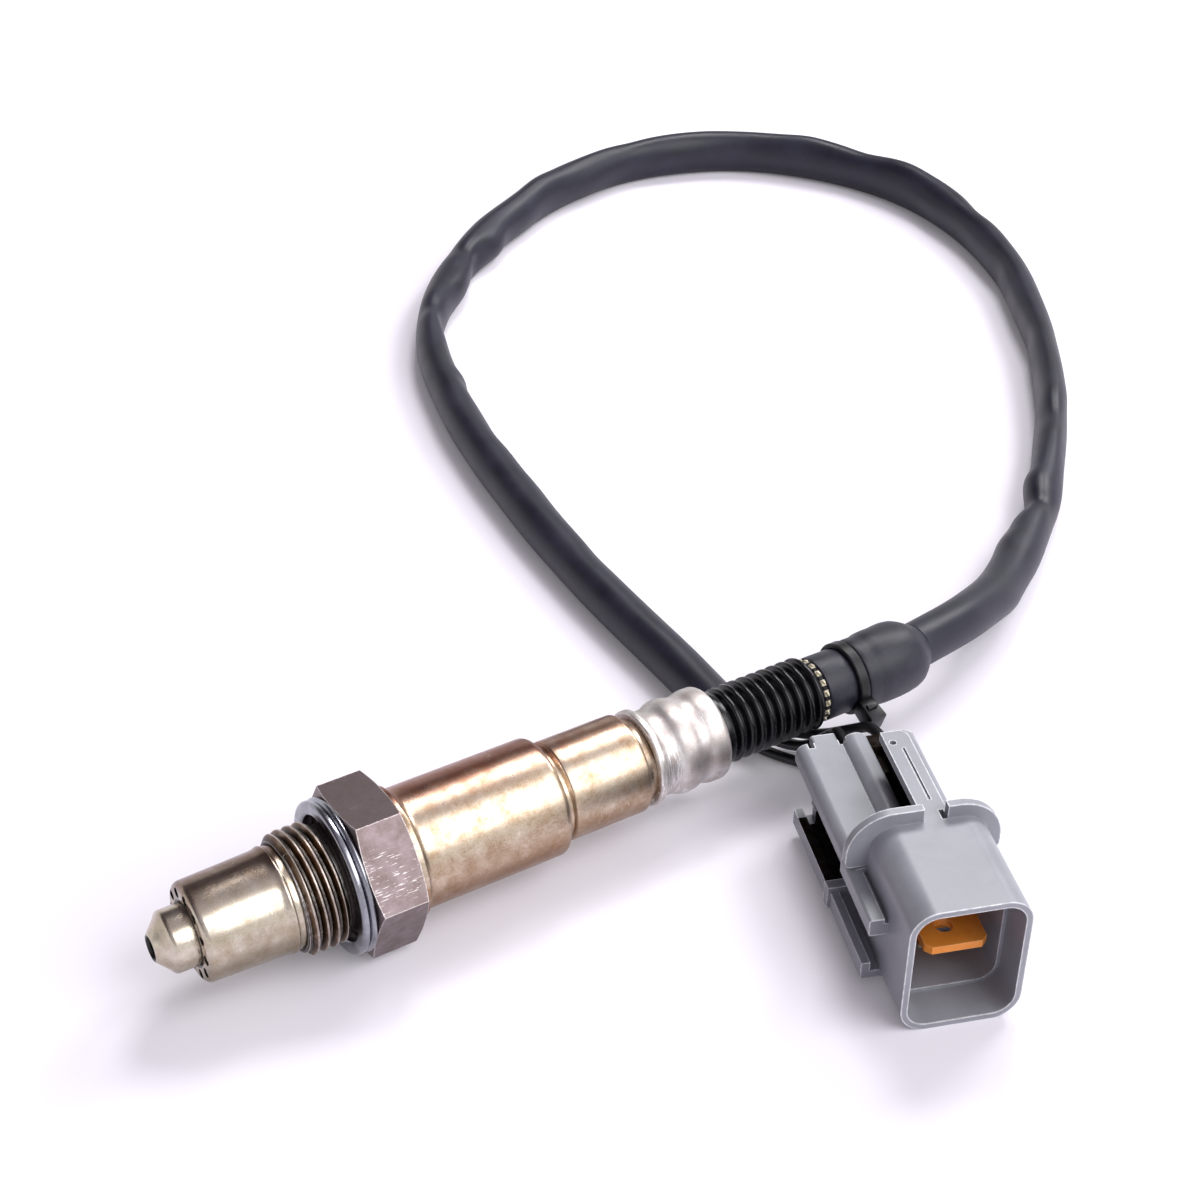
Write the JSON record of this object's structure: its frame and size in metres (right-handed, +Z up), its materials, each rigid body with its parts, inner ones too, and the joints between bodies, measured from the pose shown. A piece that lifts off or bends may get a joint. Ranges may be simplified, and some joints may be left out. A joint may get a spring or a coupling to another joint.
{
  "type": "exhaust oxygen sensor",
  "caption": "Exhaust oxygen sensor with a threaded hex housing, steel sleeve, ribbed boot, looped black harness and grey sealed connector.",
  "frame": {"origin": "on the thread's axis, in the plane where the sealing ring meets the exhaust boss", "axes": "+X along the sensor's axis from the gas inlet to the cable, +Z up from the surface that it lies on"},
  "size_m": [0.2438, 0.2531, 0.0237],
  "materials": {
    "plated_steel": "worn, heat tinted",
    "ring_steel": "satin",
    "tinted_stainless": "satin, heat tinted",
    "bright_stainless": "satin",
    "spring_steel": "satin",
    "ceramic": "matte",
    "powder": "matte",
    "contact_metal": "satin",
    "black_rubber": "satin",
    "glass_braid": "matte",
    "shrink_plastic": "matte",
    "tie_plastic": "satin",
    "vinyl_sleeve": "soft sheen",
    "wire_insulation": "satin",
    "grey_plastic": "satin",
    "orange_plastic": "satin",
    "seal_rubber": "matte"
  },
  "bodies": {
    "root": {"hex_housing": "plated_steel", "sealing_ring": "ring_steel", "outer_protection_tube": "tinted_stainless", "inner_protection_tube": "tinted_stainless", "sensing_element": "ceramic", "lower_ceramic_bush": "ceramic", "powder_packing": "powder", "upper_ceramic_bush": "ceramic", "disc_spring": "spring_steel", "protective_sleeve": "tinted_stainless", "contact_holder": "ceramic", "holder_clamp_ring": "spring_steel", "cable_grommet": "black_rubber", "crimp_ferrule": "bright_stainless", "corrugated_boot": "black_rubber", "glass_braid_sleeve": "glass_braid", "shrink_neck": "shrink_plastic", "cable_tie": "tie_plastic", "shrink_boot": "shrink_plastic", "harness_sleeve": "vinyl_sleeve", "connector_shell": "grey_plastic", "terminal_lock": "orange_plastic", "contact_spring_1": "contact_metal", "sensor_lead_1": "wire_insulation", "tail_wire_1": "wire_insulation", "pin_terminal_1": "contact_metal", "wire_seal_1": "seal_rubber", "contact_spring_2": "contact_metal", "sensor_lead_2": "wire_insulation", "tail_wire_2": "wire_insulation", "pin_terminal_2": "contact_metal", "wire_seal_2": "seal_rubber", "contact_spring_3": "contact_metal", "sensor_lead_3": "wire_insulation", "tail_wire_3": "wire_insulation", "pin_terminal_3": "contact_metal", "wire_seal_3": "seal_rubber", "contact_spring_4": "contact_metal", "sensor_lead_4": "wire_insulation", "tail_wire_4": "wire_insulation", "pin_terminal_4": "contact_metal", "wire_seal_4": "seal_rubber"}
  },
  "joints": []
}
